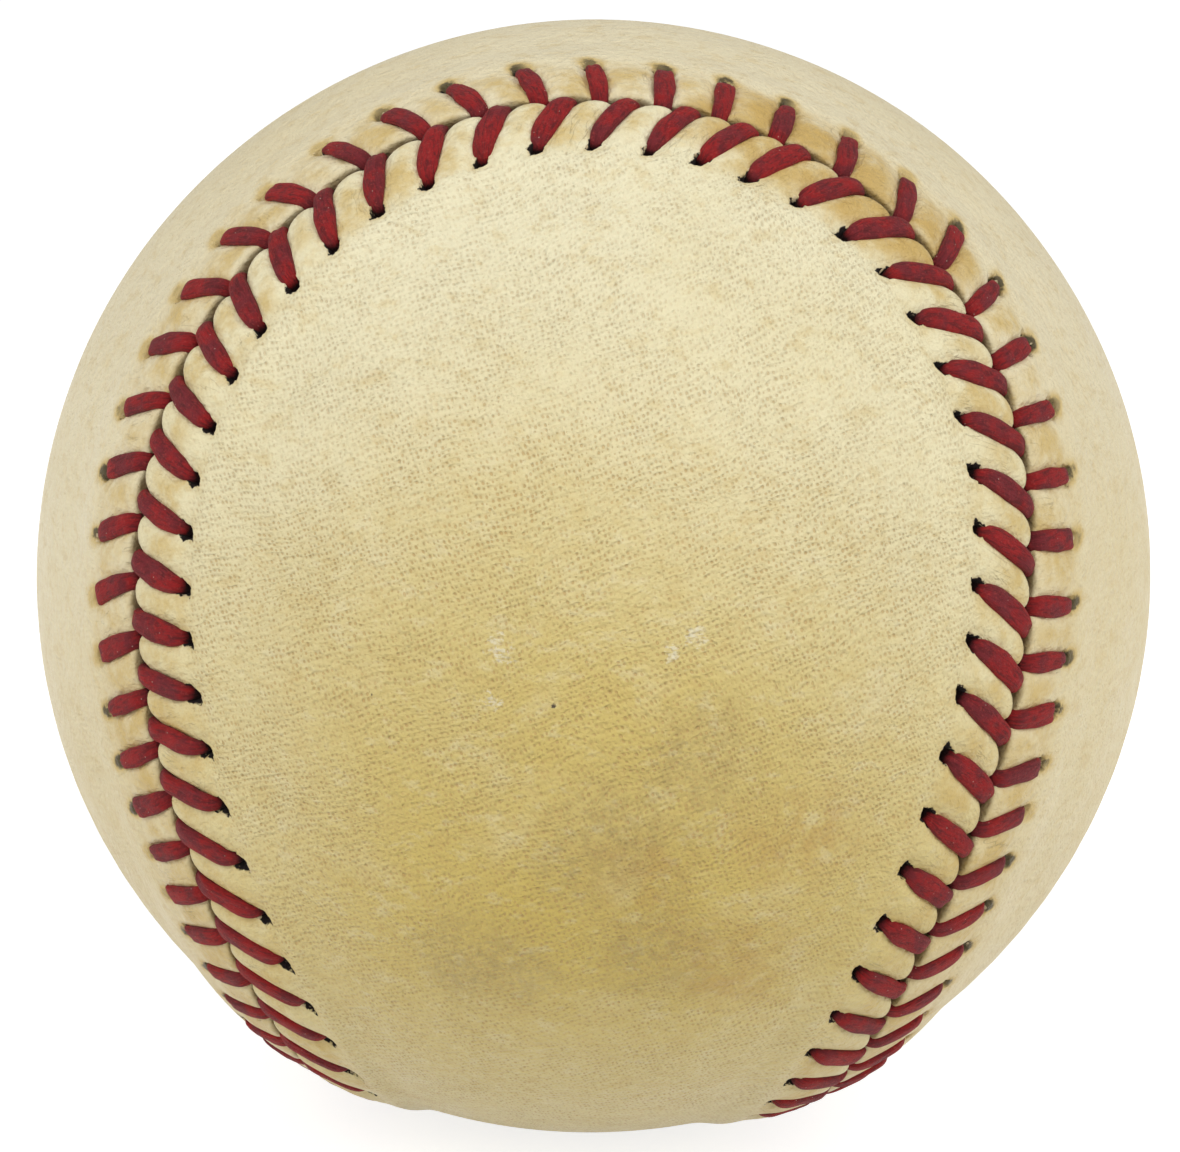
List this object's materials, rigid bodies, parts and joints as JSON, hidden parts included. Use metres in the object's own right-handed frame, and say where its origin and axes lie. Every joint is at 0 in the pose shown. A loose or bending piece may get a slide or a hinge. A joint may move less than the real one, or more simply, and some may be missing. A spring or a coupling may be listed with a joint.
{
  "type": "baseball",
  "caption": "Leather-covered ball of two figure-eight panels sewn with raised red thread over wool windings and a cushioned cork core.",
  "frame": {"origin": "centre of the ball", "axes": "+Z is the four-fold axis of the seam, through the narrow waist of the side panel; the lobes of the front panel are centred on -Y and +Y, and those of the side panel on -X and +X; the pictured lobe faces -Y"},
  "size_m": [0.0742, 0.0742, 0.0742],
  "materials": {
    "cork": "matte, coarse cork granules in rubber",
    "black_rubber": "matte",
    "red_rubber": "matte",
    "grey_wool": "fuzzy yarn",
    "white_wool": "fuzzy yarn",
    "cotton": "fine twisted yarn",
    "cement": "tacky, satin",
    "leather": "aged cream leather, satin with fine pores",
    "red_thread": "waxed twisted thread"
  },
  "bodies": {
    "root": {"cork_core": "cork", "black_shell_lower": "black_rubber", "black_shell_upper": "black_rubber", "gasket_left": "red_rubber", "gasket_right": "red_rubber", "red_shell_front": "red_rubber", "red_shell_back": "red_rubber", "grey_wool_winding": "grey_wool", "white_wool_winding": "white_wool", "grey_wool_outer_winding": "grey_wool", "cotton_finish_winding": "cotton", "cement_coat": "cement", "cover_panel_front": "leather", "cover_panel_side": "leather", "thread_first": "red_thread", "thread_second": "red_thread"}
  },
  "joints": []
}
